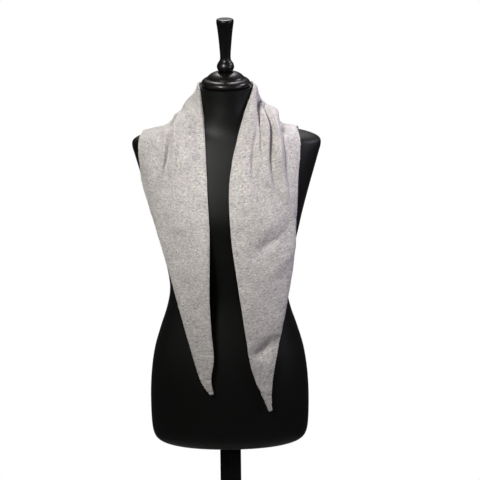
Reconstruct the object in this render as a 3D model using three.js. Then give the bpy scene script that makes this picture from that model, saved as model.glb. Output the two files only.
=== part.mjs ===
// A knitted triangle scarf, hung round the neck of a limbless dress form on its stand.
// Millimetres, +Z up, the front faces -Y, and the wearer's view is mirrored: -X is the left as it is looked at.
// The origin is the centre of the base's flat underside.
import * as THREE from "three";
import { mergeVertices } from "three/addons/utils/BufferGeometryUtils.js";

// ---------------------------------------------------------------- driving dimensions
const SEAT_GAP = 0.3;                 // between pieces that touch
const BASE = { radius: 190, thickness: 14, edge: 5 };
const POST = { radius: 21.5 };
const TORSO_BOTTOM = 600;             // height of the torso's underside above the floor
const CLOTH = { thickness: 3, clearance: 2, columns: 16, rowsOver: 5, rowsDown: 3 };
const TORSO_COLUMNS = 40;             // corners round each ring of the torso
const CREST = 640;                    // above this height the torso's table rows are close enough together

// Horizontal rings of the torso: height above its underside, half-width, depth to the front, depth to the back,
// and the power of the rounded outline (2 is an ellipse, more is squarer).
const TORSO_RINGS = [
  { height: 0, half: 137, front: 82, back: 88, power: 2.2 },      // flat underside
  { height: 4, half: 149, front: 94, back: 100, power: 2.2 },
  { height: 12, half: 156, front: 101, back: 107, power: 2.2 },
  { height: 28, half: 160, front: 106, back: 112, power: 2.2 },
  { height: 60, half: 162, front: 109, back: 116, power: 2.2 },
  { height: 105, half: 162, front: 111, back: 118, power: 2.2 },  // hips
  { height: 150, half: 159, front: 111, back: 117, power: 2.2 },
  { height: 195, half: 152, front: 107, back: 110, power: 2.2 },
  { height: 240, half: 139, front: 100, back: 99, power: 2.15 },
  { height: 280, half: 126, front: 93, back: 88, power: 2.1 },
  { height: 318, half: 119, front: 89, back: 83, power: 2.1 },    // waist
  { height: 355, half: 122, front: 92, back: 84, power: 2.15 },
  { height: 400, half: 132, front: 102, back: 91, power: 2.25 },
  { height: 445, half: 143, front: 117, back: 98, power: 2.35 },
  { height: 485, half: 152, front: 124, back: 102, power: 2.4 },  // bust
  { height: 530, half: 164, front: 115, back: 106, power: 2.3 },
  { height: 572, half: 176, front: 101, back: 107, power: 2.2 },
  { height: 604, half: 185, front: 89, back: 98, power: 2.15 },
  { height: 623, half: 190, front: 80, back: 88, power: 2.1 },    // ends of the shoulders
  { height: 634, half: 187, front: 75, back: 80, power: 2.1 },
  { height: 642, half: 170, front: 71, back: 74, power: 2.1 },
  { height: 647, half: 145, front: 68, back: 71, power: 2.1 },
  { height: 652, half: 118, front: 65, back: 69, power: 2.05 },
  { height: 659, half: 94, front: 61, back: 67, power: 2 },
  { height: 671, half: 75, front: 58, back: 63, power: 2 },
  { height: 690, half: 60, front: 56, back: 60, power: 2 },
  { height: 714, half: 54, front: 53, back: 56, power: 2 },
  { height: 742, half: 52, front: 52, back: 53, power: 2 },       // top of the neck
];
const NECK_TOP = TORSO_BOTTOM + TORSO_RINGS.at(-1).height;

// The scarf is one triangle. Its long edge runs from the left tip up the chest, behind the neck and down to the
// right tip; its two short edges pass over the shoulders and meet at the apex, low on the middle of the back.
// Each row below is a section from the long edge to a short edge.

// Sections from the middle of the back to the shoulder blades. x is the distance to the side, so both halves
// share the table: the first row is the middle.
const BACK_SECTIONS = [
  { neck: [0, 64, 1338], roll: [0, 78, 1288], fall: [0, 102, 1222], blade: [0, 114, 1150], edge: [0, 113, 1068] },
  { neck: [38, 52, 1340], roll: [50, 68, 1290], fall: [66, 93, 1230], blade: [74, 108, 1170], edge: [72, 111, 1106] },
  { neck: [52, 34, 1343], roll: [62, 51, 1300], fall: [88, 72, 1253], blade: [116, 88, 1205], edge: [126, 93, 1164] },
];
// Sections over each shoulder, from its back across its top to its front.
const LEFT_SHOULDER = [
  { neck: [54, 20, 1345], roll: [66, 32, 1307], fall: [97, 44, 1263], blade: [134, 56, 1238], edge: [156, 71, 1222] },
  { neck: [53, 5, 1346], roll: [68, 8, 1315], fall: [98, 10, 1277], blade: [138, 16, 1250], edge: [166, 22, 1241] },
  { neck: [52, -15, 1340], roll: [66, -18, 1304], fall: [97, -24, 1271], blade: [140, -32, 1249], edge: [172, -28, 1233] },
];
const RIGHT_SHOULDER = [
  { neck: [54, 20, 1344], roll: [65, 32, 1309], fall: [90, 44, 1271], blade: [119, 56, 1242], edge: [145, 70, 1220] },
  { neck: [54, 5, 1344], roll: [65, 8, 1318], fall: [90, 10, 1289], blade: [114, 14, 1261], edge: [141, 18, 1250] },
  { neck: [51, -15, 1337], roll: [63, -20, 1308], fall: [88, -28, 1282], blade: [117, -34, 1260], edge: [145, -34, 1247] },
];

// Sections of the tails, from the collar down to the tip: x and height at the long edge and at the short edge,
// and how far the cloth stands out beside the long edge, where it comes down off the collar.
const LEFT_TAIL = [
  { inner: [-47, 1306], outer: [-174, 1186], swell: 16 },
  { inner: [-43, 1262], outer: [-170, 1150], swell: 8 },
  { inner: [-41, 1212], outer: [-159, 1112], swell: 3 },
  { inner: [-39, 1150], outer: [-146, 1068], swell: 1 },
  { inner: [-36, 1080], outer: [-131, 1018], swell: 1 },
  { inner: [-37, 1005], outer: [-114, 960], swell: 2 },
  { inner: [-38, 925], outer: [-97, 896], swell: 2 },
  { inner: [-35, 862], outer: [-82, 842], swell: 2 },
  { inner: [-31, 808], outer: [-68, 790], swell: 1 },
  { inner: [-37, 766], outer: [-55, 754], swell: 0 },
  { inner: [-33, 733], outer: [-39, 732], swell: 0 },
];
const RIGHT_TAIL = [
  { inner: [40, 1304], outer: [145, 1200], swell: 16 },
  { inner: [26, 1262], outer: [141, 1158], swell: 11 },
  { inner: [11, 1208], outer: [139, 1110], swell: 6 },
  { inner: [4, 1142], outer: [137, 1052], swell: 2 },
  { inner: [7, 1066], outer: [135, 990], swell: 1 },
  { inner: [16, 990], outer: [124, 928], swell: 2 },
  { inner: [26, 915], outer: [111, 868], swell: 2 },
  { inner: [36, 842], outer: [97, 808], swell: 1 },
  { inner: [46, 782], outer: [88, 756], swell: 0 },
  { inner: [66, 728], outer: [85, 714], swell: 0 },
  { inner: [80, 692], outer: [86, 694], swell: 0 },
];

// Folds: the sections they start and end at, counted from the middle of the back (left ones are negative), how
// far across the cloth they lie at their start, middle and end (0 is the long edge, 1 the short), and their depth
// and half-width. Troughs are positive, ridges negative.
const FOLDS = [
  { from: 2.4, to: 8.4, across: [0.22, 0.22, 0.42], depth: 7, width: 8 },
  { from: 2.6, to: 8.6, across: [0.36, 0.42, 0.78], depth: 6, width: 6 },
  { from: 2.6, to: 8.4, across: [0.62, 0.70, 0.96], depth: 5, width: 7 },
  { from: 2.4, to: 7.0, across: [0.08, 0.08, 0.12], depth: -4, width: 12 },
  { from: 2.8, to: 7.6, across: [0.50, 0.55, 0.70], depth: -4, width: 10 },
  { from: 8.2, to: 11.4, across: [0.85, 0.60, 0.20], depth: 4, width: 22 },
  { from: 12.4, to: 14.4, across: [0.80, 0.68, 0.55], depth: 4, width: 10 },
  { from: -4.1, to: -8.0, across: [0.50, 0.47, 0.64], depth: 6, width: 8 },
  { from: -2.8, to: -5.6, across: [0.24, 0.24, 0.26], depth: 3, width: 9 },
  { from: -2.8, to: -5.8, across: [0.40, 0.38, 0.36], depth: -4, width: 12 },
  { from: -8.5, to: -11.5, across: [0.60, 0.72, 0.85], depth: 3, width: 16 },
];

// ---------------------------------------------------------------- shared geometry
const catmullRom = (a, b, c, d, t) =>
  b + 0.5 * t * (c - a + t * (2 * a - 5 * b + 4 * c - d + t * (3 * (b - c) + d - a)));

// A smooth value through a list of numbers, at a place counted in steps of the list.
function smooth(values, at) {
  const last = values.length - 1;
  const i = Math.min(Math.floor(at), last - 1);
  const pick = (k) => values[THREE.MathUtils.clamp(k, 0, last)];
  return catmullRom(pick(i - 1), pick(i), pick(i + 1), pick(i + 2), at - i);
}

// A geometry from a flat list of corner points and a list of triangles, with shared corners merged.
function solid(points, triangles) {
  const geometry = new THREE.BufferGeometry();
  geometry.setAttribute("position", new THREE.Float32BufferAttribute(points.flatMap((p) => [p.x, p.y, p.z]), 3));
  geometry.setIndex(triangles);
  return mergeVertices(geometry, 1e-4);
}

function piece(name, geometry, colour, roughness) {
  geometry.computeVertexNormals();
  const mesh = new THREE.Mesh(geometry, new THREE.MeshStandardMaterial({ color: colour, roughness, metalness: 0 }));
  mesh.name = name;
  return mesh;
}

// A solid of revolution about Z from [radius, height] pairs that start and end on the axis.
function turned(profile, segments) {
  const lathe = new THREE.LatheGeometry(profile.map(([r, z]) => new THREE.Vector2(r, z)), segments);
  lathe.rotateX(Math.PI / 2);
  lathe.deleteAttribute("normal");
  lathe.deleteAttribute("uv");
  return mergeVertices(lathe, 1e-3);
}

// ---------------------------------------------------------------- dress form
const RING_STEPS = 4;                 // rings worked out between two table rows
const RING_COLUMNS = ["height", "half", "front", "back", "power"];
const formRings = [];
for (let k = 0; k <= (TORSO_RINGS.length - 1) * RING_STEPS; k += 1) {
  const ring = {};
  for (const column of RING_COLUMNS) ring[column] = smooth(TORSO_RINGS.map((row) => row[column]), k / RING_STEPS);
  formRings.push(ring);
}

// The torso's ring at a height above the floor, held at the first and last ring outside them.
function ringAt(z) {
  const height = THREE.MathUtils.clamp(z - TORSO_BOTTOM, 0, TORSO_RINGS.at(-1).height);
  const above = Math.max(1, formRings.findIndex((ring) => ring.height >= height));
  const low = formRings[above - 1];
  const high = formRings[above];
  const share = (height - low.height) / (high.height - low.height);
  const ring = {};
  for (const column of RING_COLUMNS) ring[column] = THREE.MathUtils.lerp(low[column], high[column], share);
  return ring;
}

// How far the torso reaches forwards or backwards at a place across it.
function formDepth(x, z, side) {
  const ring = ringAt(z);
  const inside = 1 - (Math.abs(x) / ring.half) ** ring.power;
  return inside > 0 ? ring[side] * inside ** (1 / ring.power) : 0;
}

// Cloth falls straight down from the fullest place above it.
function fall(x, z) {
  const step = 15;
  let deepest = 0;
  for (let above = z; above < NECK_TOP; above += step) deepest = Math.max(deepest, formDepth(x, above, "front"));
  return deepest;
}

// Zero on the torso's surface, and growing outwards about as fast as distance does.
function outside(p) {
  const ring = ringAt(p.z);
  const depth = p.y < 0 ? ring.front : ring.back;
  const reach = ((Math.abs(p.x) / ring.half) ** ring.power + (Math.abs(p.y) / depth) ** ring.power) ** (1 / ring.power);
  return (reach - 1) * Math.min(ring.half, depth);
}

function torsoGeometry() {
  const columns = TORSO_COLUMNS;
  const keep = formRings.filter((ring, k) => k % RING_STEPS === 0 || (ring.height < CREST && k % 2 === 0));
  const points = [];
  for (const ring of keep) {
    for (let c = 0; c < columns; c += 1) {
      const turn = (2 * Math.PI * c) / columns;
      const round = (value) => Math.sign(value) * Math.abs(value) ** (2 / ring.power);
      const depth = Math.sin(turn) < 0 ? ring.front : ring.back;
      points.push(new THREE.Vector3(ring.half * round(Math.cos(turn)), depth * round(Math.sin(turn)),
        TORSO_BOTTOM + ring.height));
    }
  }
  const triangles = [];
  for (let r = 0; r + 1 < keep.length; r += 1) {
    for (let c = 0; c < columns; c += 1) {
      const [a, b] = [r * columns + c, r * columns + ((c + 1) % columns)];
      triangles.push(a, b, b + columns, a, b + columns, a + columns);
    }
  }
  for (const [r, low] of [[0, true], [keep.length - 1, false]]) {
    const middle = points.length;
    points.push(new THREE.Vector3(0, 0, TORSO_BOTTOM + keep[r].height));
    for (let c = 0; c < columns; c += 1) {
      const [a, b] = [r * columns + c, r * columns + ((c + 1) % columns)];
      triangles.push(middle, ...(low ? [b, a] : [a, b]));
    }
  }
  return solid(points, triangles);
}

function baseGeometry() {
  const { radius, thickness, edge } = BASE;
  return turned([[0, 0], [radius - 2, 0], [radius, 2], [radius, thickness - edge],
    [radius - edge, thickness - 1], [radius - 3 * edge, thickness], [0, thickness]], 56);
}

function postGeometry() {
  const low = BASE.thickness + SEAT_GAP;
  const high = TORSO_BOTTOM - SEAT_GAP;
  return turned([[0, low], [POST.radius, low], [POST.radius, high], [0, high]], 32);
}

// A wide rounded rim that covers the neck, a step, and a dome.
function capGeometry() {
  const seat = NECK_TOP + SEAT_GAP;
  const profile = [[0, 0], [45, 0], [48, 3], [49, 7], [48, 11], [44, 14.5], [38, 17], [37, 19], [33, 23], [26, 27],
    [18, 30], [0, 30]];
  return turned(profile.map(([r, z]) => [r, z + seat]), 40);
}

// A ball, and a handle that flares to a flat rounded top.
function finialGeometry() {
  const seat = NECK_TOP + 2 * SEAT_GAP + 30;
  const profile = [[0, 0], [13, 0], [16, 4], [17.4, 10], [16, 16], [12.5, 21], [10.7, 27], [11.2, 40], [13.2, 65],
    [15.8, 88], [17.6, 100], [17.6, 104], [15.5, 107], [0, 107.5]];
  return turned(profile.map(([r, z]) => [r, z + seat]), 28);
}

// ---------------------------------------------------------------- scarf
const SECTION_POINTS = 5;
const SWELL_SHAPE = [0, 1, 0.6, 0.2, 0];   // a tail stands out most beside its long edge
const CLOSE_SECTIONS = 7;             // the cloth lies closest to the form within this many sections of the back
const mirrored = ([x, y, z]) => new THREE.Vector3(-x, y, z);
const asIs = ([x, y, z]) => new THREE.Vector3(x, y, z);
const shoulderSection = (row, place) => [row.neck, row.roll, row.fall, row.blade, row.edge].map(place);

// Between its two edges a tail's section runs straight, but for where the form is fuller.
function tailSection({ inner, outer, swell }) {
  const points = [];
  for (let k = 0; k < SECTION_POINTS; k += 1) {
    const share = k / (SECTION_POINTS - 1);
    const x = THREE.MathUtils.lerp(inner[0], outer[0], share);
    const z = THREE.MathUtils.lerp(inner[1], outer[1], share);
    const straight = THREE.MathUtils.lerp(fall(...inner), fall(...outer), share);
    const stand = CLOTH.clearance + CLOTH.thickness / 2 + swell * SWELL_SHAPE[k];
    points.push(new THREE.Vector3(x, -Math.max(fall(x, z), straight) - stand, z));
  }
  return points;
}

// A half of the scarf: its sections from the middle of the back to the tip, and one before the middle. That one
// mirrors the next at the long edge, which runs round the neck, and goes straight on at the short edge, so that
// the apex is a corner.
const middle = shoulderSection(BACK_SECTIONS[0], asIs);
function halfSections(place, shoulder, tail) {
  const own = [...BACK_SECTIONS.slice(1), ...shoulder].map((row) => shoulderSection(row, place));
  const next = own[0];
  const before = middle.map((p, k) => {
    const round = new THREE.Vector3(-next[k].x, next[k].y, next[k].z);
    const straight = p.clone().multiplyScalar(2).sub(next[k]);
    return round.lerp(straight, (k / (SECTION_POINTS - 1)) ** 2);
  });
  return [before, middle, ...own, ...tail.map(tailSection)];
}
const leftHalf = halfSections(mirrored, LEFT_SHOULDER, LEFT_TAIL);
const rightHalf = halfSections(asIs, RIGHT_SHOULDER, RIGHT_TAIL);
const END = { left: 2 - leftHalf.length, right: rightHalf.length - 2 };

// The cloth's middle surface before folds: at counts sections from the middle of the back, across runs 0 to 1.
function drape(at, across) {
  const half = at < 0 ? leftHalf : rightHalf;
  const point = new THREE.Vector3();
  for (const axis of ["x", "y", "z"]) {
    const column = half.map((section) => smooth(section.map((p) => p[axis]), across * (SECTION_POINTS - 1)));
    point[axis] = smooth(column, Math.abs(at) + 1);
  }
  return point;
}

// The cloth's unit normal, pointing away from the form.
function normalOf(surface, at, across) {
  const [da, dv] = [0.05, 0.02];
  const clampAt = (value) => THREE.MathUtils.clamp(value, END.left, END.right);
  const clampAcross = (value) => THREE.MathUtils.clamp(value, 0, 1);
  const along = surface(clampAt(at + da), across).sub(surface(clampAt(at - da), across));
  const over = surface(at, clampAcross(across + dv)).sub(surface(at, clampAcross(across - dv)));
  return along.cross(over).normalize();
}

// How deep the folds press in at a place.
function foldDepth(at, across, sectionWidth) {
  let depth = 0;
  for (const fold of FOLDS) {
    const share = (at - fold.from) / (fold.to - fold.from);
    if (share <= 0 || share >= 1) continue;
    const centre = smooth(fold.across, share * (fold.across.length - 1));
    const away = ((across - centre) * sectionWidth) / fold.width;
    const fade = Math.sin(Math.PI * share ** 0.7);
    depth += fold.depth * fade * Math.exp(-away * away);
  }
  return depth;
}

// Moves a point out until it is the gap away from the form.
function clearOfForm(point, gap) {
  const step = 0.5;
  const passes = 12;
  for (let pass = 0; pass < passes; pass += 1) {
    const here = outside(point);
    const slope = new THREE.Vector3(
      outside(new THREE.Vector3(point.x + step, point.y, point.z)) - here,
      outside(new THREE.Vector3(point.x, point.y + step, point.z)) - here,
      outside(new THREE.Vector3(point.x, point.y, point.z + step)) - here,
    ).divideScalar(step);
    const distance = here / slope.length();
    if (distance >= gap - 0.01) break;
    point.addScaledVector(slope.normalize(), gap - distance);
  }
  return point;
}

function cloth(at, across) {
  const point = drape(at, across);
  const sectionWidth = drape(at, 0).distanceTo(drape(at, 1));
  point.addScaledVector(normalOf(drape, at, across), -foldDepth(at, across, sectionWidth));
  return clearOfForm(point, CLOTH.clearance + CLOTH.thickness / 2);
}

// A wall of cloth between two places along the scarf: an outer and an inner face, joined round the rim.
function clothGeometry(start, end) {
  const shortest = 0.1;               // the shortest row, in sections
  const places = [start];
  for (let at = Math.floor(start); at < end; at += 1) {
    const steps = Math.abs(at + 0.5) < CLOSE_SECTIONS ? CLOTH.rowsOver : CLOTH.rowsDown;
    for (let k = 0; k < steps; k += 1) {
      const next = at + k / steps;
      if (next > start + shortest && next < end - shortest) places.push(next);
    }
  }
  places.push(end);
  const rows = places.length - 1;
  const columns = CLOTH.columns;
  const outer = [];
  const inner = [];
  for (let r = 0; r <= rows; r += 1) {
    const at = places[r];
    for (let c = 0; c <= columns; c += 1) {
      const across = c / columns;
      const wall = normalOf(cloth, at, across).multiplyScalar(CLOTH.thickness);
      const face = clearOfForm(cloth(at, across).addScaledVector(wall, -0.5), CLOTH.clearance);
      inner.push(face);
      outer.push(face.clone().add(wall));
    }
  }
  const triangles = [];
  const wide = columns + 1;
  const under = outer.length;
  for (let r = 0; r < rows; r += 1) {
    for (let c = 0; c < columns; c += 1) {
      const [a, b, d, e] = [r * wide + c, r * wide + c + 1, (r + 1) * wide + c, (r + 1) * wide + c + 1];
      triangles.push(a, e, b, a, d, e);
      triangles.push(a + under, b + under, e + under, a + under, e + under, d + under);
    }
  }
  const rim = [];
  for (let c = 0; c < columns; c += 1) rim.push(c);
  for (let r = 0; r < rows; r += 1) rim.push(r * wide + columns);
  for (let c = columns; c > 0; c -= 1) rim.push(rows * wide + c);
  for (let r = rows; r > 0; r -= 1) rim.push(r * wide);
  rim.forEach((a, k) => {
    const b = rim[(k + 1) % rim.length];
    triangles.push(a, b, b + under, a, b + under, a + under);
  });
  return solid([...outer, ...inner], triangles);
}

// ---------------------------------------------------------------- the part
const JERSEY = 0x2b2b2a;
const GLOSS = 0x141210;
const WOOL = 0xc4bfbb;
const SEAM_AT = 4;                    // the section over each shoulder where one stretch meets the next
const SEAM_HALF = 0.01;

const group = new THREE.Group();
group.add(
  piece("base", baseGeometry(), GLOSS, 0.4),
  piece("post", postGeometry(), GLOSS, 0.4),
  piece("torso", torsoGeometry(), JERSEY, 0.85),
  piece("neck_cap", capGeometry(), GLOSS, 0.25),
  piece("finial", finialGeometry(), GLOSS, 0.25),
  piece("scarf_left_tail", clothGeometry(END.left, -SEAM_AT - SEAM_HALF), WOOL, 0.95),
  piece("scarf_neck_back", clothGeometry(-SEAM_AT + SEAM_HALF, SEAM_AT - SEAM_HALF), WOOL, 0.95),
  piece("scarf_right_tail", clothGeometry(SEAM_AT + SEAM_HALF, END.right), WOOL, 0.95),
);

export default group;
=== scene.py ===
# %% [markdown]
# # A knitted triangle scarf on a dress form
# The real object is one triangle of soft grey wool knit, hung round the neck of a black dress form.
# Its tails fall down the front, and its apex lies on the back. The form is a limbless torso covered
# in black jersey, with a turned wooden cap and finial on the neck, on a steel post and a round
# base. The pieces are given in millimetres, as a maker would write them, and MM turns those into
# Blender's metres. The floor, the lamps and the camera are in metres.

# %% Load the solid model that this scene dresses
import math

import bpy
import numpy as np
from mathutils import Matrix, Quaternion, Vector, noise


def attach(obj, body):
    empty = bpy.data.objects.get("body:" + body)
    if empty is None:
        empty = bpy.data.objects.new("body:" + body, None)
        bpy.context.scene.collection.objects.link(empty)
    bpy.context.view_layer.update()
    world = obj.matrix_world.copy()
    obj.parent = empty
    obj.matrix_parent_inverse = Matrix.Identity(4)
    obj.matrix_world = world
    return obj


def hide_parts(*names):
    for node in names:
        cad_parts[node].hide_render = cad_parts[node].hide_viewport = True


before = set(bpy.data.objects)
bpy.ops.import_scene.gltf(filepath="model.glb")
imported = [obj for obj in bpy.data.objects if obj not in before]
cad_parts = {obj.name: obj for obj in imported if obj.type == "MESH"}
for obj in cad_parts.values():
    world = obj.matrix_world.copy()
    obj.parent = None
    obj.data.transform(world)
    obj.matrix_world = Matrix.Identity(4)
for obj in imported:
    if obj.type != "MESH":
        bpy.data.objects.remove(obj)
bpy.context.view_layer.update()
MM = 0.001
bpy.ops.object.select_all(action="DESELECT")

# %% [markdown]
# A drape is drawn from a few known places. A line through them should pass every one and turn
# smoothly between them, which a Catmull-Rom curve does. Straight steps would show as facets on
# cloth.


# %% A smooth line through the rows of a table
def smooth(rows, at):
    """The value at each place in at, counted in rows of the table."""
    rows = np.asarray(rows, float)
    last = len(rows) - 1
    first = np.clip(np.floor(at).astype(int), 0, last - 1)
    t = (at - first).reshape(-1, *[1] * (rows.ndim - 1))
    a, b, c, d = (rows[np.clip(first + k, 0, last)] for k in (-1, 0, 1, 2))
    return b + 0.5 * t * (c - a + t * (2 * a - 5 * b + 4 * c - d + t * (3 * (b - c) + d - a)))


# %% [markdown]
# The torso is foam, shaped by the measurements of a body: a waist, a bust, shoulders and a neck.
# Its outline at each height is a rounded oval that is deeper in front or behind. The table gives
# those ovals.

# %% Ovals of the torso
# height above its underside, half-width, depth to the front, depth to the back, and power of the
# oval (2 is an ellipse, and more is squarer)
TORSO_RINGS = [
    (0, 137, 82, 88, 2.2),
    (4, 149, 94, 100, 2.2),
    (12, 156, 101, 107, 2.2),
    (28, 160, 106, 112, 2.2),
    (60, 162, 109, 116, 2.2),
    (105, 162, 111, 118, 2.2),
    (150, 159, 111, 117, 2.2),
    (195, 152, 107, 110, 2.2),
    (240, 139, 100, 99, 2.15),
    (280, 126, 93, 88, 2.1),
    (318, 119, 89, 83, 2.1),
    (355, 122, 92, 84, 2.15),
    (400, 132, 102, 91, 2.25),
    (445, 143, 117, 98, 2.35),
    (485, 152, 124, 102, 2.4),
    (530, 164, 115, 106, 2.3),
    (572, 176, 101, 107, 2.2),
    (604, 185, 89, 98, 2.15),
    (623, 190, 80, 88, 2.1),
    (634, 187, 75, 80, 2.1),
    (642, 170, 71, 74, 2.1),
    (647, 145, 68, 71, 2.1),
    (652, 118, 65, 69, 2.05),
    (659, 94, 61, 67, 2),
    (671, 75, 58, 63, 2),
    (690, 60, 56, 60, 2),
    (714, 54, 53, 56, 2),
    (742, 52, 52, 53, 2),
]
TORSO_BOTTOM = 600
NECK_TOP = TORSO_BOTTOM + TORSO_RINGS[-1][0]
FINE_COUNT = 160
fine_rings = smooth(TORSO_RINGS, np.linspace(0, len(TORSO_RINGS) - 1, FINE_COUNT))

# %% [markdown]
# The stretched cover bridges the hollow at the root of the neck. So the line down the front is
# averaged with its neighbours there, by a bell-shaped weight, and left alone further up and down.

# %% Root of the neck
NECK_ROOT, ROOT_REACH = 652, 50  # its height above the underside, and how far it is rounded
ROUNDING = 16  # half-width of the bell
bell_end = 3 * ROUNDING
by_height = np.arange(fine_rings[-1, 0] + 1)
front_line = np.interp(by_height, fine_rings[:, 0], fine_rings[:, 2])
bell = np.exp(-((np.arange(-bell_end, bell_end + 1) / ROUNDING) ** 2))
rounded = np.convolve(np.pad(front_line, bell_end, mode="edge"), bell / bell.sum(), mode="valid")
near_root = np.exp(-(((by_height - NECK_ROOT) / ROOT_REACH) ** 4))
bridge = near_root * (rounded - front_line)
fine_rings[:, 2] += np.interp(fine_rings[:, 0], by_height, bridge)
print("the root of the neck is filled by up to", round(float(bridge.max()), 1), "mm")

# %% [markdown]
# The cloth has to know where the torso is. These helpers answer for any place: how the oval is at a
# height, how far outside the torso a place lies, and how far forward cloth hangs that comes down
# over the bust.

# %% Where the torso is
LOOK_UP = 15  # steps in which fall looks up the torso


def ring_at(z):
    """Half-width, front depth, back depth and power of the torso at a height above the floor."""
    return [np.interp(z - TORSO_BOTTOM, fine_rings[:, 0], fine_rings[:, k]) for k in range(1, 5)]


def outside(points):
    """Zero on the torso's surface, and growing outwards about as fast as distance does."""
    x, y, z = np.moveaxis(points, -1, 0)
    half, front, back, power = ring_at(z)
    depth = np.where(y < 0, front, back)
    reach = (np.abs(x / half) ** power + np.abs(y / depth) ** power) ** (1 / power)
    return (reach - 1) * np.minimum(half, depth)


def fall(x, z):
    """How far forward cloth hangs: as far as the fullest part of the torso above it."""
    deepest = np.zeros(np.broadcast(x, z).shape)
    for above in np.arange(0, NECK_TOP - np.min(z), LOOK_UP):
        half, front, _, power = ring_at(np.minimum(z + above, NECK_TOP))
        inside = np.clip(1 - np.abs(x / half) ** power, 0, None)
        deepest = np.maximum(deepest, front * inside ** (1 / power))
    return deepest


# %% [markdown]
# Blender's own tools make each piece: a primitive is added, cut and shaped in edit mode. These
# helpers start and finish a piece, pick its edges by where they are, as a hand would click them,
# and read or set where its corners are.


# %% Helpers for work in edit mode
def start(name):
    """Names the primitive that was just added and goes into edit mode."""
    piece = bpy.context.object
    piece.name = piece.data.name = name
    bpy.ops.object.mode_set(mode="EDIT")
    return piece


def select_edges(piece, wanted):
    """Selects the edges whose two ends the test wants."""
    bpy.ops.mesh.select_mode(type="EDGE")
    bpy.ops.mesh.select_all(action="DESELECT")
    bpy.ops.object.mode_set(mode="OBJECT")
    corners = piece.data.vertices
    for edge in piece.data.edges:
        edge.select = bool(wanted(*(corners[k].co for k in edge.vertices)))
    bpy.ops.object.mode_set(mode="EDIT")


def done(piece, node_names, crease=40):
    """Turns the faces outwards, puts the place in the mesh, shades the piece smooth, hangs it on
    the root and hides the solid parts that it stands for.
    """
    bpy.ops.object.mode_set(mode="EDIT")
    bpy.ops.mesh.select_all(action="SELECT")
    bpy.ops.mesh.normals_make_consistent(inside=False)
    bpy.ops.object.mode_set(mode="OBJECT")
    bpy.ops.object.transform_apply(location=True, rotation=True, scale=True)
    bpy.ops.object.shade_smooth_by_angle(angle=math.radians(crease))
    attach(piece, "root")
    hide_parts(*node_names)
    piece.select_set(False)
    print(piece.name, len(piece.data.polygons), "faces")


def move_corners(piece, places):
    """Puts the piece's corners at these places, given in millimetres."""
    piece.data.vertices.foreach_set("co", (np.asarray(places) * MM).ravel())
    piece.data.update()


def corner_places(piece):
    """Where the piece's corners are, in its own units."""
    flat = np.empty(len(piece.data.vertices) * 3)
    piece.data.vertices.foreach_get("co", flat)
    return flat.reshape(-1, 3)


# %% [markdown]
# The torso could be sculpted, but its ovals are known, so a cylinder does: its upright edges are
# cut into many rings, and each ring is set on its oval. The jersey cover is stretched tight, so
# there are no folds in it.

# %% Torso
RING_CUTS, TORSO_COLUMNS = 159, 112
bpy.ops.mesh.primitive_cylinder_add(
    vertices=TORSO_COLUMNS, radius=1, depth=1, end_fill_type="TRIFAN"
)
torso = start("jersey_covered_torso")
select_edges(torso, lambda a, b: abs(a.z - b.z) > 0.5)
bpy.ops.mesh.subdivide(number_cuts=RING_CUTS)
bpy.ops.object.mode_set(mode="OBJECT")
unit = corner_places(torso)
rows = smooth(TORSO_RINGS, (unit[:, 2] + 0.5) * (len(TORSO_RINGS) - 1))
height, half, _, back, power = rows.T
front = ring_at(TORSO_BOTTOM + height)[1]
turn = np.arctan2(unit[:, 1], unit[:, 0])
on_axis = np.hypot(unit[:, 0], unit[:, 1]) < 0.5
side = np.sign(np.cos(turn)) * np.abs(np.cos(turn)) ** (2 / power)
deep = np.sign(np.sin(turn)) * np.abs(np.sin(turn)) ** (2 / power)
depth = np.where(deep < 0, front, back)
placed = np.stack([half * side, depth * deep, TORSO_BOTTOM + height], axis=1)
placed[on_axis, :2] = 0
move_corners(torso, placed)
done(torso, ["torso"])

# %% [markdown]
# The cap and the finial are turned on a lathe from one blank each. A lathe profile can be spun, or,
# as here, a circle is extruded upwards and resized at each step of the profile, which gives clean
# rings.


# %% Turned pieces
def turned(name, profile, seat, steps=5, around=72):
    """Extrudes a circle along a profile of (radius, height) rows, from the height called seat."""
    line = smooth(profile, np.linspace(0, len(profile) - 1, steps * (len(profile) - 1) + 1))
    radius, low = line[0]
    bpy.ops.mesh.primitive_circle_add(
        vertices=around, radius=radius * MM, location=(0, 0, (seat + low) * MM), fill_type="NGON"
    )
    piece = start(name)
    for wider, higher in line[1:]:
        rise = (0, 0, (higher - low) * MM)
        bpy.ops.mesh.extrude_region_move(TRANSFORM_OT_translate={"value": rise})
        scale = wider / radius
        middle = (0, 0, (seat + higher) * MM)
        bpy.ops.transform.resize(value=(scale, scale, 1), center_override=middle)
        radius, low = wider, higher
    bpy.ops.object.mode_set(mode="OBJECT")
    return piece


# radius and height
CAP_PROFILE = [
    (44, 0), (47, 1), (48.8, 4), (49, 7), (48, 10.5), (44.5, 14), (39, 16.6), (37.3, 18.2),
    (36, 20), (32, 23.6), (26, 27), (18, 29.6), (12, 30),
]
FINIAL_PROFILE = [
    (12.6, 0), (15.6, 3.4), (17.3, 8), (17.3, 12), (15.6, 17), (12.4, 21.4), (10.9, 26),
    (10.8, 34), (11.6, 46), (13.2, 65), (15, 82), (16.6, 94), (17.5, 100), (17.5, 103.6),
    (16.4, 106.4), (13.5, 107.5), (9, 107.5),
]
SEAT_GAP = 0.3  # between pieces that touch
CAP_HEIGHT = CAP_PROFILE[-1][1]
cap = turned("turned_neck_cap", CAP_PROFILE, NECK_TOP + SEAT_GAP)
done(cap, ["neck_cap"], crease=35)
finial = turned("turned_finial", FINIAL_PROFILE, NECK_TOP + 2 * SEAT_GAP + CAP_HEIGHT)
done(finial, ["finial"], crease=35)

# %% [markdown]
# The post is a steel tube and the base a round weighted plate. Both are cylinders with their sharp
# rims bevelled, because painted steel never ends in a true knife edge.

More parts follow.
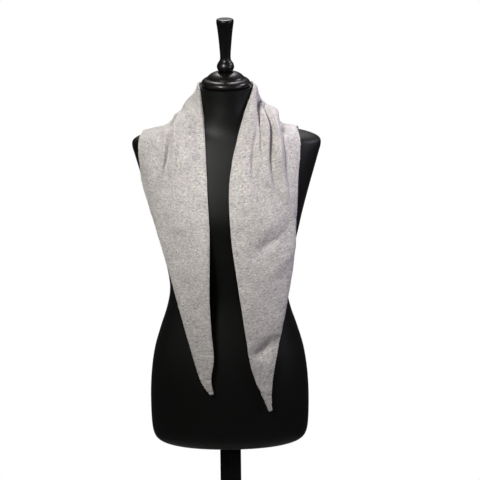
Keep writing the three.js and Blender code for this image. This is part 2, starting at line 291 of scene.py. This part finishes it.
# %% Post and base
BASE_RADIUS, BASE_THICKNESS, BASE_EDGE, BASE_FOOT = 190, 14, 5, 2
POST_RADIUS, POST_EDGE = 21.5, 1
bpy.ops.mesh.primitive_cylinder_add(
    vertices=128, radius=BASE_RADIUS * MM, depth=BASE_THICKNESS * MM,
    location=(0, 0, BASE_THICKNESS / 2 * MM),
)
base = start("weighted_base")
select_edges(base, lambda a, b: a.z > 0 and b.z > 0)
bpy.ops.mesh.bevel(offset=BASE_EDGE * MM, segments=5, affect="EDGES")
foot = -(BASE_THICKNESS / 2 - 0.01) * MM
select_edges(base, lambda a, b: a.z < foot and b.z < foot)
bpy.ops.mesh.bevel(offset=BASE_FOOT * MM, segments=3, affect="EDGES")
done(base, ["base"])

post_low, post_high = BASE_THICKNESS + SEAT_GAP, TORSO_BOTTOM - SEAT_GAP
bpy.ops.mesh.primitive_cylinder_add(
    vertices=64, radius=POST_RADIUS * MM, depth=(post_high - post_low) * MM,
    location=(0, 0, (post_high + post_low) / 2 * MM),
)
post = start("steel_post")
select_edges(post, lambda a, b: abs(a.z - b.z) < MM)
bpy.ops.mesh.bevel(offset=POST_EDGE * MM, segments=2, affect="EDGES")
done(post, ["post"])

# %% [markdown]
# The scarf is one triangle with no seams. Its long edge goes up the chest, behind the neck and down
# again. Its two short edges pass over the shoulders and meet on the back. Sections across it, each
# a row of places from the long edge to a short edge, say how it hangs. A cloth simulation would
# find its own folds instead of these.

# %% Sections of the draped triangle
# neck, roll, fall, blade, edge: five places (x, y, z) from the long edge to the short edge
BACK_SECTIONS = [
    [(0, 64, 1338), (0, 78, 1288), (0, 102, 1222), (0, 114, 1150), (0, 113, 1068)],
    [(38, 52, 1340), (50, 68, 1290), (66, 93, 1230), (74, 108, 1170), (72, 111, 1106)],
    [(52, 34, 1343), (62, 51, 1300), (88, 72, 1253), (116, 88, 1205), (126, 93, 1164)],
]
LEFT_SHOULDER = [
    [(54, 20, 1345), (66, 32, 1307), (97, 44, 1263), (134, 56, 1238), (156, 71, 1222)],
    [(53, 5, 1346), (68, 8, 1315), (98, 10, 1277), (138, 16, 1250), (166, 22, 1241)],
    [(52, -15, 1340), (66, -18, 1304), (97, -24, 1271), (140, -32, 1249), (172, -28, 1233)],
]
RIGHT_SHOULDER = [
    [(54, 20, 1344), (65, 32, 1309), (90, 44, 1271), (119, 56, 1242), (145, 70, 1220)],
    [(54, 5, 1344), (65, 8, 1318), (90, 10, 1289), (114, 14, 1261), (141, 18, 1250)],
    [(51, -15, 1337), (63, -20, 1308), (88, -28, 1282), (117, -34, 1260), (145, -34, 1247)],
]
# x and height at the long edge, x and height at the short edge, and how far the cloth stands out
# beside the long edge, where it comes down off the collar
LEFT_TAIL = [
    (-47, 1306, -174, 1186, 16),
    (-43, 1262, -170, 1150, 8),
    (-41, 1212, -159, 1112, 3),
    (-39, 1150, -146, 1068, 1),
    (-36, 1080, -131, 1018, 1),
    (-37, 1005, -114, 960, 2),
    (-38, 925, -97, 896, 2),
    (-35, 862, -82, 842, 2),
    (-31, 808, -68, 790, 1),
    (-37, 766, -55, 754, 0),
    (-33, 733, -39, 732, 0),
]
RIGHT_TAIL = [
    (40, 1304, 145, 1200, 16),
    (26, 1262, 141, 1158, 11),
    (11, 1208, 139, 1110, 6),
    (4, 1142, 137, 1052, 2),
    (7, 1066, 135, 990, 1),
    (16, 990, 124, 928, 2),
    (26, 915, 111, 868, 2),
    (36, 842, 97, 808, 1),
    (46, 782, 88, 756, 0),
    (66, 728, 85, 714, 0),
    (80, 692, 86, 694, 0),
]
SECTION_POINTS = 5
SWELL_SHAPE = np.array([0, 1, 0.6, 0.2, 0])  # share of that at each place across a tail
WALL = 3.0  # thickness of the knit
CLEARANCE = 2.0  # between the knit and the torso


def tail_sections(table):
    """A tail's sections run straight between their two edges, but for where the torso is fuller."""
    sections = []
    share = np.linspace(0, 1, SECTION_POINTS)
    for inner_x, inner_z, outer_x, outer_z, swell in table:
        x = inner_x + (outer_x - inner_x) * share
        z = inner_z + (outer_z - inner_z) * share
        hang = fall(np.array([inner_x, outer_x]), np.array([inner_z, outer_z]))
        straight = hang[0] + (hang[1] - hang[0]) * share
        out = np.maximum([float(fall(a, b)) for a, b in zip(x, z)], straight)
        out = out + CLEARANCE + WALL / 2 + swell * SWELL_SHAPE
        sections.append(np.stack([x, -out, z], axis=1))
    return sections


def half_sections(mirror, shoulder, tail):
    """Sections from one before the middle of the back to the tip. The apex stays a corner."""
    own = [np.array(row, float) * (mirror, 1, 1) for row in BACK_SECTIONS[1:] + shoulder]
    middle = np.array(BACK_SECTIONS[0], float)
    round_back = own[0] * (-1, 1, 1)
    straight_on = 2 * middle - own[0]
    blend = (np.linspace(0, 1, SECTION_POINTS) ** 2)[:, None]
    before = round_back * (1 - blend) + straight_on * blend
    return np.array([before, middle, *own, *tail_sections(tail)])


left_half = half_sections(-1, LEFT_SHOULDER, LEFT_TAIL)
right_half = half_sections(1, RIGHT_SHOULDER, RIGHT_TAIL)
TIP = len(left_half) - 2
print("sections from the back to each tip:", TIP)

# %% [markdown]
# Folds are put in one by one, because they are what makes this drape. On the right the wide cloth
# is gathered against the neck, so it stands up in three bands with creases between them, and a deep
# pocket opens beside the collar. On the left the collar lies over the shoulder in one step. The
# tails carry soft hollows. Each fold is a trough or a ridge with its own length, depth, width and
# sharpness, and it fades out at both ends.

# %% Folds
# section it starts at, section it ends at (left of the back is negative), where it lies across the
# cloth at its start, middle and end (0 is the long edge, 1 the short), depth (a ridge has a
# negative one), half-width, and sharpness: 2 is a soft wave and 1 a crease
FOLDS = [
    (3.4, 8.8, (0.12, 0.12, 0.16), -7, 17, 2),
    (4.0, 8.0, (0.35, 0.38, 0.52), -10, 9, 2),
    (3.0, 8.8, (0.52, 0.60, 0.88), -12, 14, 2),
    (4.5, 6.2, (0.31, 0.265, 0.28), 26, 6, 1.4),
    (5.8, 8.2, (0.20, 0.24, 0.32), 9, 7, 2),
    (6.0, 7.3, (0.28, 0.35, 0.44), 6, 6, 2),
    (4.0, 8.7, (0.37, 0.49, 0.84), 14, 5, 1.1),
    (6.6, 8.8, (0.58, 0.68, 0.84), 7, 9, 2),
    (3.2, 8.6, (0.70, 0.74, 0.97), 13, 6, 1.3),
    (7.8, 10.5, (0.60, 0.72, 0.34), 11, 14, 2),
    (8.0, 10.8, (0.92, 0.94, 0.60), -5, 13, 2),
    (8.6, 12.4, (1.04, 1.04, 1.04), 5, 7, 2),
    (13.5, 12.3, (0.32, 0.68, 0.92), 16, 16, 2),
    (14.2, 14.7, (0.70, 0.25, -0.10), 3, 12, 2),
    (14.6, 15.2, (1.10, 0.50, 0.00), 3, 11, 2),
    (-3.0, -8.4, (0.34, 0.31, 0.40), -8, 18, 2),
    (-3.8, -8.2, (0.51, 0.40, 0.60), -12, 9, 2),
    (-4.7, -7.4, (0.65, 0.57, 0.74), -10, 9, 2),
    (-4.0, -7.4, (0.62, 0.487, 0.67), 24, 4, 1.2),
    (-5.8, -8.6, (0.82, 0.83, 0.88), -6, 14, 2),
    (-6.0, -8.4, (0.14, 0.14, 0.15), 3, 7, 2),
    (-8.5, -11.5, (0.60, 0.72, 0.85), 4, 16, 2),
    (-11.2, -14.2, (0.22, 0.28, 0.35), 5, 14, 2),
]
# a fold is deepest at 0.4 of its length, and a little fuller than a plain arch
FADE_LEAN, FADE_FULLNESS = 0.75, 0.8


def fold_depth(at, across, widths):
    """How deep the folds press in, for each row of the cloth and each place across it."""
    depth = np.zeros((len(at), len(across)))
    for begin, end, line, deep, wide, sharp in FOLDS:
        share = (at - begin) / (end - begin)
        inside = np.clip(share, 0, 1)
        centre = smooth(np.array(line), inside * 2)
        away = np.abs(across[None, :] - centre[:, None]) * widths[:, None] / wide
        fade = np.sin(np.pi * inside**FADE_LEAN)[:, None] ** FADE_FULLNESS
        depth += deep * fade * np.exp(-(away**sharp))
    return depth


# %% [markdown]
# Three helpers place the cloth: one reads the drape off the sections, one finds which way is out,
# and one pushes cloth off the torso where it would sink in.

# %% Helpers for the drape
PUSHES, PROBE = 12, 0.5  # rounds of pushing, and the step that finds the steepest way out


def drape(at, across):
    """The cloth's middle surface before folds, as an array of rows, columns and x, y, z."""
    surface = np.empty((len(at), len(across), 3))
    for half, mine in ((left_half, at < 0), (right_half, at >= 0)):
        if mine.any():
            sections = smooth(half, np.abs(at[mine]) + 1).transpose(1, 0, 2)
            surface[mine] = smooth(sections, across * (SECTION_POINTS - 1)).transpose(1, 0, 2)
    return surface


def normals(surface):
    """Unit normals that point away from the torso."""
    along = np.gradient(surface, axis=0)
    over = np.gradient(surface, axis=1)
    cross = np.cross(along, over)
    return cross / np.linalg.norm(cross, axis=-1, keepdims=True)


def clear_of_torso(surface, gap):
    """Pushes the surface out until it is the gap away from the torso."""
    for _ in range(PUSHES):
        here = outside(surface)
        beside = [outside(surface + PROBE * axis) - here for axis in np.eye(3)]
        slope = np.stack(beside, axis=-1) / PROBE
        steep = np.linalg.norm(slope, axis=-1)
        short = np.clip(gap - here / steep, 0, None)
        surface = surface + slope / steep[..., None] * short[..., None]
    return surface


# %% [markdown]
# The cloth starts as a flat grid. Its rows are spaced evenly along the middle of the cloth, and
# each corner is moved onto the drape, pressed in by the folds, and pushed out of the torso. The
# sections are listed one by one, so this isn't a flat triangle exactly folded up: the last lines
# print how much longer its short edges are than those of a flat triangle of the same length and
# depth.

# %% Place the cloth
ROW_SPACING = 3.8
COLUMNS = 96
COARSE_COUNT = 1200  # places at which the length of the cloth is first measured
coarse = np.linspace(-TIP, TIP, COARSE_COUNT)
line = drape(coarse, np.array([0.0, 0.5]))[:, 1]
steps = np.linalg.norm(np.diff(line, axis=0), axis=1)
travelled = np.concatenate([[0], np.cumsum(steps)])
row_count = round(travelled[-1] / ROW_SPACING)
at = np.interp(np.linspace(0, travelled[-1], row_count + 1), travelled, coarse)
across = np.linspace(0, 1, COLUMNS + 1)
surface = drape(at, across)
widths = np.linalg.norm(surface[:, -1] - surface[:, 0], axis=1)
surface = surface - normals(surface) * fold_depth(at, across, widths)[..., None]
surface = clear_of_torso(surface, CLEARANCE + WALL / 2)
along_cloth = np.linalg.norm(np.diff(surface, axis=0), axis=2)
long_side, short_sides = along_cloth[:, 0].sum(), along_cloth[:, -1].sum()
print("long edge", round(long_side), "mm, short edges", round(short_sides), "mm")
back_row = int(np.argmin(np.abs(at)))
down_the_back = np.linalg.norm(np.diff(surface[back_row], axis=0), axis=1).sum()
print("depth at the middle of the back", round(down_the_back), "mm, in row", back_row)
flat_sides = 2 * math.hypot(long_side / 2, down_the_back)
print("short edges of a flat triangle like that", round(flat_sides), "mm")

# %% [markdown]
# Nothing on a washed wool knit is dead flat. Three sizes of low waves, from a few centimetres down
# to a few millimetres long, give the cloth the lumpy, felted look of the real one. The long edge
# stands out in a low roll, as a knit edge does, and the short edges of the tails turn in towards
# the form.

# %% Felted surface and rolled edge
down_cloth = np.concatenate([np.zeros((1, COLUMNS + 1)), np.cumsum(along_cloth, axis=0)])
across_cloth = np.linalg.norm(np.diff(surface, axis=1), axis=2)
over_cloth = np.concatenate([np.zeros((row_count + 1, 1)), np.cumsum(across_cloth, axis=1)], axis=1)
LUMPS = ((38, 0.9), (14, 0.35), (6, 0.25))  # wavelength and height
ROLL_HEIGHT, ROLL_AT, ROLL_WIDTH = 1.4, 7, 5  # of the long edge's roll, and how far in it lies
LIP_DROP, LIP_WIDTH = 1.2, 2.5  # how the very edge falls away outside the roll
TURN_IN, TURN_IN_WIDTH = 3, 8  # of a tail's short edge
SHOULDER_AT, TAIL_GROWS = 4, 5  # section where the turning in starts, and sections until it is full
NAP = 0.4  # how far the felted surface may press into the clearance
lumps = np.zeros(surface.shape[:2])
for r in range(row_count + 1):
    for c in range(COLUMNS + 1):
        down, over = down_cloth[r, COLUMNS // 2], over_cloth[r, c]
        lumps[r, c] = sum(
            high * noise.noise((down / wave, over / wave, wave)) for wave, high in LUMPS
        )
from_short_edge = over_cloth[:, -1:] - over_cloth
roll = ROLL_HEIGHT * np.exp(-(((over_cloth - ROLL_AT) / ROLL_WIDTH) ** 2))
roll = roll - LIP_DROP * np.exp(-((over_cloth / LIP_WIDTH) ** 2))
on_tail = np.clip((np.abs(at) - SHOULDER_AT) / TAIL_GROWS, 0, 1)[:, None]
roll = roll - TURN_IN * on_tail * np.exp(-((from_short_edge / TURN_IN_WIDTH) ** 2))
surface = surface + normals(surface) * (lumps + roll)[..., None]
surface = clear_of_torso(surface, CLEARANCE + WALL / 2 - NAP)
print("lumps up to", round(float(lumps.max()), 2), "mm high")

# %% [markdown]
# The short edges are a row of small loops, one to every few stitches. Every other corner there is
# moved out and the rest in, each by an amount of its own, from next to nothing to 1 mm.

# %% Loops of the short edges
EDGE_LOOP, LOOP_MEAN = 0.9, 0.6  # reach of a loop, and the share of it that is the same for all
outwards = surface[:, -1] - surface[:, -2]
outwards /= np.linalg.norm(outwards, axis=1, keepdims=True)
for r in range(1, row_count):
    reach = EDGE_LOOP * (LOOP_MEAN + noise.noise((r * 0.7, 3.1, 0)))
    surface[r, -1] += outwards[r] * (reach if r % 2 else -reach)
print(row_count - 1, "corners moved along the short edges")

# %% [markdown]
# The pattern has to lie on the cloth as it was knitted: rows of stitches run straight across the
# flat triangle, square to its long edge. So each place on the drape is traced back to the flat cut.
# A section is a straight line there too, from its place on the long edge to its place on a short
# edge.

# %% Trace the drape back to the flat triangle
long_edge = down_cloth[:, 0] - down_cloth[back_row, 0]
short_edge = down_cloth[:, -1] - down_cloth[back_row, -1]
tip_long = np.where(at < 0, -long_edge[0], long_edge[-1])
tip_short = np.where(at < 0, -short_edge[0], short_edge[-1])
depth_at_back = over_cloth[back_row, -1]
share_down = short_edge / tip_short
flat_cut = np.stack(
    [
        across[None, :] * (depth_at_back * (1 - np.abs(share_down)))[:, None],
        (1 - across)[None, :] * long_edge[:, None]
        + across[None, :] * (share_down * tip_long)[:, None],
    ],
    axis=-1,
)

# %% [markdown]
# Now the flat grid takes these places. Solidify gives it the thickness of the wool, and a bevel
# rounds its rim.

# %% Scarf
bpy.ops.mesh.primitive_grid_add(x_subdivisions=COLUMNS, y_subdivisions=row_count, size=1)
scarf = start("triangle_scarf")
bpy.ops.object.mode_set(mode="OBJECT")
flat_cloth = corner_places(scarf)
column = np.round((flat_cloth[:, 0] + 0.5) * COLUMNS).astype(int)
row = np.round((flat_cloth[:, 1] + 0.5) * row_count).astype(int)
move_corners(scarf, surface[row, column])
KNIT_MAP = "knit"
knit_map = scarf.data.uv_layers.active
knit_map.name = KNIT_MAP
loops = np.empty(len(scarf.data.loops), int)
scarf.data.loops.foreach_get("vertex_index", loops)
uv = flat_cut[row, column][loops]
knit_map.data.foreach_set("uv", (uv * MM).ravel())
# placed like this the faces point at the torso, so they are turned round
bpy.ops.object.mode_set(mode="EDIT")
bpy.ops.mesh.select_all(action="SELECT")
bpy.ops.mesh.flip_normals()
bpy.ops.object.mode_set(mode="OBJECT")


def finish_with(piece, kind, **settings):
    """Adds a modifier, sets it and applies it."""
    modifier = piece.modifiers.new(kind.title(), kind)
    for name, value in settings.items():
        setattr(modifier, name, value)
    bpy.context.view_layer.objects.active = piece
    bpy.ops.object.modifier_apply(modifier=modifier.name)


RIM_BEVEL, RIM_ANGLE, SHADING_ANGLE = 1.1, math.radians(62), math.radians(80)
finish_with(scarf, "SOLIDIFY", thickness=WALL * MM, offset=0, use_rim=True)
finish_with(
    scarf, "BEVEL", width=RIM_BEVEL * MM, segments=2, limit_method="ANGLE", angle_limit=RIM_ANGLE
)
bpy.ops.object.shade_smooth_by_angle(angle=SHADING_ANGLE)
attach(scarf, "root")
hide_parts("scarf_left_tail", "scarf_neck_back", "scarf_right_tail")
scarf.select_set(False)
print(scarf.name, len(scarf.data.polygons), "faces")

# %% [markdown]
# Materials start from what the real ones are. Colours are written as the hex values that a colour
# picker shows, and one function turns them into the linear light that Blender works with. Others
# start a material, add a node with its settings and links, and work out a pattern's scale from the
# size of its spots.


# %% Helpers for materials
def linear(hex_colour):
    """A colour picker's hex value as linear red, green, blue and alpha."""
    channels = [int(hex_colour[k : k + 2], 16) / 255 for k in (1, 3, 5)]
    return (*(c / 12.92 if c <= 0.04045 else ((c + 0.055) / 1.055) ** 2.4 for c in channels), 1)


def new_material(name):
    """A new material whose node tree is emptied, output and all."""
    material = bpy.data.materials.new(name)
    material.use_nodes = True
    material.node_tree.nodes.clear()
    print("material:", name)
    return material


def add_node(material, kind, links=None, stops=(), **settings):
    """Adds a node. A setting goes to the node if it has one of that name, or else to a socket.

    Links are sockets of other nodes, and stops are the places and colours of a colour ramp.
    """
    node = material.node_tree.nodes.new("ShaderNode" + kind)
    for name, value in settings.items():
        if hasattr(node, name):
            setattr(node, name, value)
        else:
            node.inputs[name.replace("_", " ")].default_value = value
    for name, source in (links or {}).items():
        material.node_tree.links.new(source, node.inputs[name])
    elements = node.color_ramp.elements if stops else []
    while len(elements) < len(stops):
        elements.new(0.5)
    for element, (place, colour) in zip(elements, stops):
        element.position = place
        element.color = linear(colour)
    return node


def pattern_scale(*sizes):
    """The scale of a pattern whose spots are this many millimetres long on each axis."""
    scale = [1 / size / MM for size in sizes]
    return (*scale, *[1] * (3 - len(scale)))


# %% [markdown]
# Wool knit: carded wool of light and dark grey fibres, spun together and knitted, then washed until
# it felts a little. It is quite matt, with a soft glow at grazing angles from the fibres that stand
# up. Flecks are about 4 mm wide and 3 mm high, lying across the cloth as the stitches do. The
# stitches themselves are 2.4 mm wide and 2 mm high, and clouds of lighter and darker wool are a few
# centimetres across.

# %% Wool knit
FLECK, CLOUD, STITCH = (4.2, 2.6), (30, 22), (2.4, 2.0)
MIX_A, MIX_B, MIX_RESULT = 6, 7, 2  # the colour sockets of a Mix node, whose names aren't unique
wool = new_material("carded wool knit")
cloth_place = add_node(wool, "UVMap", uv_map=KNIT_MAP).outputs["UV"]
fleck_place = add_node(wool, "Mapping", {"Vector": cloth_place}, Scale=pattern_scale(*FLECK))
flecks = add_node(
    wool, "TexNoise", {"Vector": fleck_place.outputs["Vector"]},
    Scale=1.0, Detail=2.0, Roughness=0.6, Distortion=0.9,
)
cloudy_place = add_node(wool, "Mapping", {"Vector": cloth_place}, Scale=pattern_scale(*CLOUD))
clouds = add_node(
    wool, "TexNoise", {"Vector": cloudy_place.outputs["Vector"]}, Scale=1.0, Detail=2.0
)
fleck_colour = add_node(
    wool, "ValToRGB", {"Fac": flecks.outputs["Fac"]},
    stops=[(0.27, "#87827f"), (0.42, "#ada9a6"), (0.55, "#c2bebb"), (0.72, "#dcd9d6")],
)
cloud_colour = add_node(
    wool, "ValToRGB", {"Fac": clouds.outputs["Fac"]},
    stops=[(0.35, "#dad6d8"), (0.65, "#fffdf9")],
)
wool_colour = add_node(
    wool, "Mix", data_type="RGBA", blend_type="MULTIPLY", factor_mode="UNIFORM", Factor=0.5,
    links={MIX_A: fleck_colour.outputs["Color"], MIX_B: cloud_colour.outputs["Color"]},
)

# %% [markdown]
# The stitches are small rounded bumps, and the flecks stand up a little over them. Both are far
# smaller than the folds, so they only tilt the light.

# %% Stitches of the wool
stitch_place = add_node(wool, "Mapping", {"Vector": cloth_place}, Scale=pattern_scale(*STITCH))
stitches = add_node(
    wool, "TexVoronoi", {"Vector": stitch_place.outputs["Vector"]}, Scale=1.0, feature="SMOOTH_F1"
)
stitch_bump = add_node(
    wool, "Bump", {"Height": stitches.outputs["Distance"]},
    invert=True, Strength=0.55, Distance=1.2 * MM,
)
fleck_bump = add_node(
    wool, "Bump", {"Height": flecks.outputs["Fac"], "Normal": stitch_bump.outputs["Normal"]},
    Strength=0.3, Distance=1.6 * MM,
)
wool_shader = add_node(
    wool, "BsdfPrincipled",
    {"Base Color": wool_colour.outputs[MIX_RESULT], "Normal": fleck_bump.outputs["Normal"]},
    Roughness=0.95, IOR=1.55, Specular_IOR_Level=0.15, Sheen_Weight=0.35, Sheen_Roughness=0.5,
    Sheen_Tint=linear("#efece8"),
)
add_node(wool, "OutputMaterial", {"Surface": wool_shader.outputs["BSDF"]})
scarf.data.materials.append(wool)

# %% [markdown]
# Black jersey: fine polyester knit, stretched tight over the foam. It swallows most of the light
# and has a weak, broad gloss. Its own stitches, about 0.5 mm apart, are too fine to show, so they
# are drawn 1.6 mm apart.

# %% Black jersey
JERSEY_STITCH = 1.6
jersey = new_material("black polyester jersey")
jersey_place = add_node(jersey, "TexCoord")
jersey_grain = add_node(
    jersey, "TexNoise", {"Vector": jersey_place.outputs["Object"]},
    Scale=1 / JERSEY_STITCH / MM, Detail=2.0,
)
jersey_bump = add_node(
    jersey, "Bump", {"Height": jersey_grain.outputs["Fac"]}, Strength=0.25, Distance=0.5 * MM
)
jersey_colour = add_node(
    jersey, "ValToRGB", {"Fac": jersey_grain.outputs["Fac"]},
    stops=[(0.3, "#080808"), (0.7, "#0f0f0e")],
)
jersey_shader = add_node(
    jersey, "BsdfPrincipled",
    {"Base Color": jersey_colour.outputs["Color"], "Normal": jersey_bump.outputs["Normal"]},
    Roughness=0.5, IOR=1.5, Specular_IOR_Level=0.17, Sheen_Weight=0.02, Sheen_Roughness=0.4,
    Sheen_Tint=linear("#b8b4b0"),
)
add_node(jersey, "OutputMaterial", {"Surface": jersey_shader.outputs["BSDF"]})
torso.data.materials.append(jersey)

# %% [markdown]
# Lacquered wood: beech, stained nearly black and sprayed with clear lacquer. The lacquer gives
# soft-edged highlights over a dark body. The grain under it is faint, 1.5 mm across and 25 mm long,
# and runs along the lathe's axis.

# %% Lacquered wood
GRAIN = (1.5, 1.5, 25)
lacquer = new_material("black lacquered beech")
lacquer_place = add_node(lacquer, "TexCoord")
grain_place = add_node(
    lacquer, "Mapping", {"Vector": lacquer_place.outputs["Object"]}, Scale=pattern_scale(*GRAIN)
)
grain = add_node(
    lacquer, "TexNoise", {"Vector": grain_place.outputs["Vector"]}, Scale=1.0, Detail=4.0
)
grain_colour = add_node(
    lacquer, "ValToRGB", {"Fac": grain.outputs["Fac"]},
    stops=[(0.35, "#060403"), (0.65, "#0f0a08")],
)
grain_bump = add_node(
    lacquer, "Bump", {"Height": grain.outputs["Fac"]}, Strength=0.08, Distance=0.2 * MM
)
lacquer_shader = add_node(
    lacquer, "BsdfPrincipled",
    {"Base Color": grain_colour.outputs["Color"], "Normal": grain_bump.outputs["Normal"]},
    Roughness=0.4, IOR=1.5, Specular_IOR_Level=0.25,
    Coat_Weight=0.45, Coat_IOR=1.5, Coat_Roughness=0.28,
)
add_node(lacquer, "OutputMaterial", {"Surface": lacquer_shader.outputs["BSDF"]})
cap.data.materials.append(lacquer)
finial.data.materials.append(lacquer)

# %% [markdown]
# Painted steel: mild steel with a baked black powder coat, satin and with the fine orange peel, 1.2
# mm across, that such paint sets to.

# %% Painted steel
PEEL = 1.2
paint = new_material("black powder coated steel")
paint_place = add_node(paint, "TexCoord")
peel = add_node(
    paint, "TexNoise", {"Vector": paint_place.outputs["Object"]}, Scale=1 / PEEL / MM, Detail=1.0
)
peel_bump = add_node(
    paint, "Bump", {"Height": peel.outputs["Fac"]}, Strength=0.12, Distance=0.15 * MM
)
peel_colour = add_node(
    paint, "ValToRGB", {"Fac": peel.outputs["Fac"]},
    stops=[(0.3, "#040403"), (0.7, "#070606")],
)
paint_shader = add_node(
    paint, "BsdfPrincipled",
    {"Base Color": peel_colour.outputs["Color"], "Normal": peel_bump.outputs["Normal"]},
    Roughness=0.5, IOR=1.5, Specular_IOR_Level=0.12,
)
add_node(paint, "OutputMaterial", {"Surface": paint_shader.outputs["BSDF"]})
base.data.materials.append(paint)
post.data.materials.append(paint)

# %% [markdown]
# The set is a small pale floor in a white room, with no horizon: the floor fades into the room's
# white a step away from the base, so that the black form keeps its crisp outline and nothing bright
# is mirrored in its sides. The fade is a gradient on the floor's own coordinates, so it stays put
# in every view.

# %% Floor
FLOOR_RADIUS, FLOOR_DROP = 1.15, 0.0005  # the floor lies just under the base's underside
FADE_FROM, FADE_TO = 0.3, FLOOR_RADIUS * 0.95
bpy.ops.mesh.primitive_circle_add(
    vertices=96, radius=FLOOR_RADIUS, fill_type="NGON", location=(0, 0, -FLOOR_DROP)
)
floor = bpy.context.object
floor.name = "floor"
floor_paint = new_material("pale studio floor")
floor_place = add_node(floor_paint, "TexCoord")
from_middle = add_node(
    floor_paint, "VectorMath", {0: floor_place.outputs["Object"]}, operation="LENGTH"
)
fade = add_node(
    floor_paint, "MapRange", {"Value": from_middle.outputs["Value"]},
    interpolation_type="SMOOTHSTEP", From_Min=FADE_FROM, From_Max=FADE_TO, To_Min=1.0, To_Max=0.0,
)
floor_shader = add_node(
    floor_paint, "BsdfPrincipled", {"Alpha": fade.outputs["Result"]},
    Base_Color=linear("#f2f1ef"), Roughness=0.9, Specular_IOR_Level=0.0,
)
add_node(floor_paint, "OutputMaterial", {"Surface": floor_shader.outputs["BSDF"]})
floor.data.materials.append(floor_paint)

# %% [markdown]
# A small gridded softbox high on the left is the key: the top of the scarf is brightest, and the
# light falls off down the tails. Two more fill in from the sides and one edges the shoulder on the
# right, where the light is a little cooler. One high behind lights the back. Four low ones are for
# the floor: their grids keep them off the torso.

# %% Lights
# name, size, place, what it looks at, watts, the angle in degrees that its honeycomb grid narrows
# it to, and its colour
LIGHTS = [
    ("key high on the left", 0.5, (-0.75, -1.6, 2.3), (-0.02, -0.1, 1.18), 1.65, 27, "#fffffc"),
    ("fill from the left", 2.0, (-3.0, -1.2, 1.8), (0, 0, 1.1), 3, 180, "#fffffc"),
    ("fill from the right", 0.7, (1.7, -0.9, 1.5), (0.1, -0.1, 1.1), 0.6, 34, "#efebff"),
    ("rim light from behind", 0.4, (1.3, 0.15, 2.0), (0.15, 0, 1.22), 0.5, 24, "#efebff"),
    ("fill from behind", 1.4, (0, 2.0, 3.4), (0, 0, 1.15), 7.5, 46, "#ffffff"),
    ("floor light in front", 1.0, (0, -2.4, 1.3), (0, -0.4, 0), 1.2, 34, "#ffffff"),
    ("floor light behind", 1.0, (0, 2.4, 1.3), (0, 0.4, 0), 1.5, 34, "#ffffff"),
    ("floor light on the left", 1.0, (-2.4, 0, 1.3), (-0.4, 0, 0), 1.5, 34, "#ffffff"),
    ("floor light on the right", 1.0, (2.4, 0, 1.3), (0.4, 0, 0), 1.5, 34, "#ffffff"),
]
for name, size, place, target, watts, grid, colour in LIGHTS:
    bpy.ops.object.light_add(type="AREA", location=place)
    softbox = bpy.context.object
    softbox.name = name
    softbox.data.size = size
    softbox.data.energy = watts
    softbox.data.color = linear(colour)[:3]
    softbox.data.spread = math.radians(grid)
    softbox.rotation_mode = "QUATERNION"
    softbox.rotation_quaternion = (Vector(target) - Vector(place)).to_track_quat("-Z", "Y")
print(len(LIGHTS), "lamps of", round(sum(row[4] for row in LIGHTS), 2), "watts in all")

# %% [markdown]
# The white room is the world: it gives a little light from everywhere, and is seen brighter than
# that, as the walls of a studio are that have lamps of their own.

# %% World
ROOM_STRENGTH = 0.035
world = bpy.data.worlds.new("white room")
world.use_nodes = True
nodes = world.node_tree.nodes
room_light = nodes["Background"]
room_light.inputs["Strength"].default_value = ROOM_STRENGTH
wall = nodes.new("ShaderNodeBackground")
seen = nodes.new("ShaderNodeLightPath")
either = nodes.new("ShaderNodeMixShader")
for background in (room_light, wall):
    background.inputs["Color"].default_value = linear("#ffffff")
for source, socket in (
    (seen.outputs["Is Camera Ray"], either.inputs["Fac"]),
    (room_light.outputs["Background"], either.inputs[1]),
    (wall.outputs["Background"], either.inputs[2]),
    (either.outputs["Shader"], nodes["World Output"].inputs["Surface"]),
):
    world.node_tree.links.new(source, socket)
bpy.context.scene.world = world
bpy.context.scene.view_settings.view_transform = "Standard"
print("room light", ROOM_STRENGTH)

# %% [markdown]
# The camera looks a little down at the form through a long lens from seven metres, so that the
# shoulders don't look wide. It is turned by under a degree about its own axis, as a tripod on a
# soft floor leaves it.

# %% Camera
TARGET = Vector((0.0248, 0, 1.021))
DISTANCE, PITCH, ROLL = 7.0, math.radians(16), math.radians(-0.7)
LENS, SENSOR = 258.6, 36  # millimetres, as they are always given
FARTHEST_SEEN = 200
back_along = Vector((0, -math.cos(PITCH), math.sin(PITCH)))
bpy.ops.object.camera_add(location=TARGET + back_along * DISTANCE)
camera = bpy.context.object
camera.data.lens = LENS
camera.data.sensor_width = SENSOR
camera.data.clip_end = FARTHEST_SEEN
camera.rotation_mode = "QUATERNION"
camera.rotation_quaternion = (-back_along).to_track_quat("-Z", "Y") @ Quaternion((0, 0, 1), ROLL)
bpy.context.scene.camera = camera
print("camera at", tuple(round(place, 3) for place in camera.location))
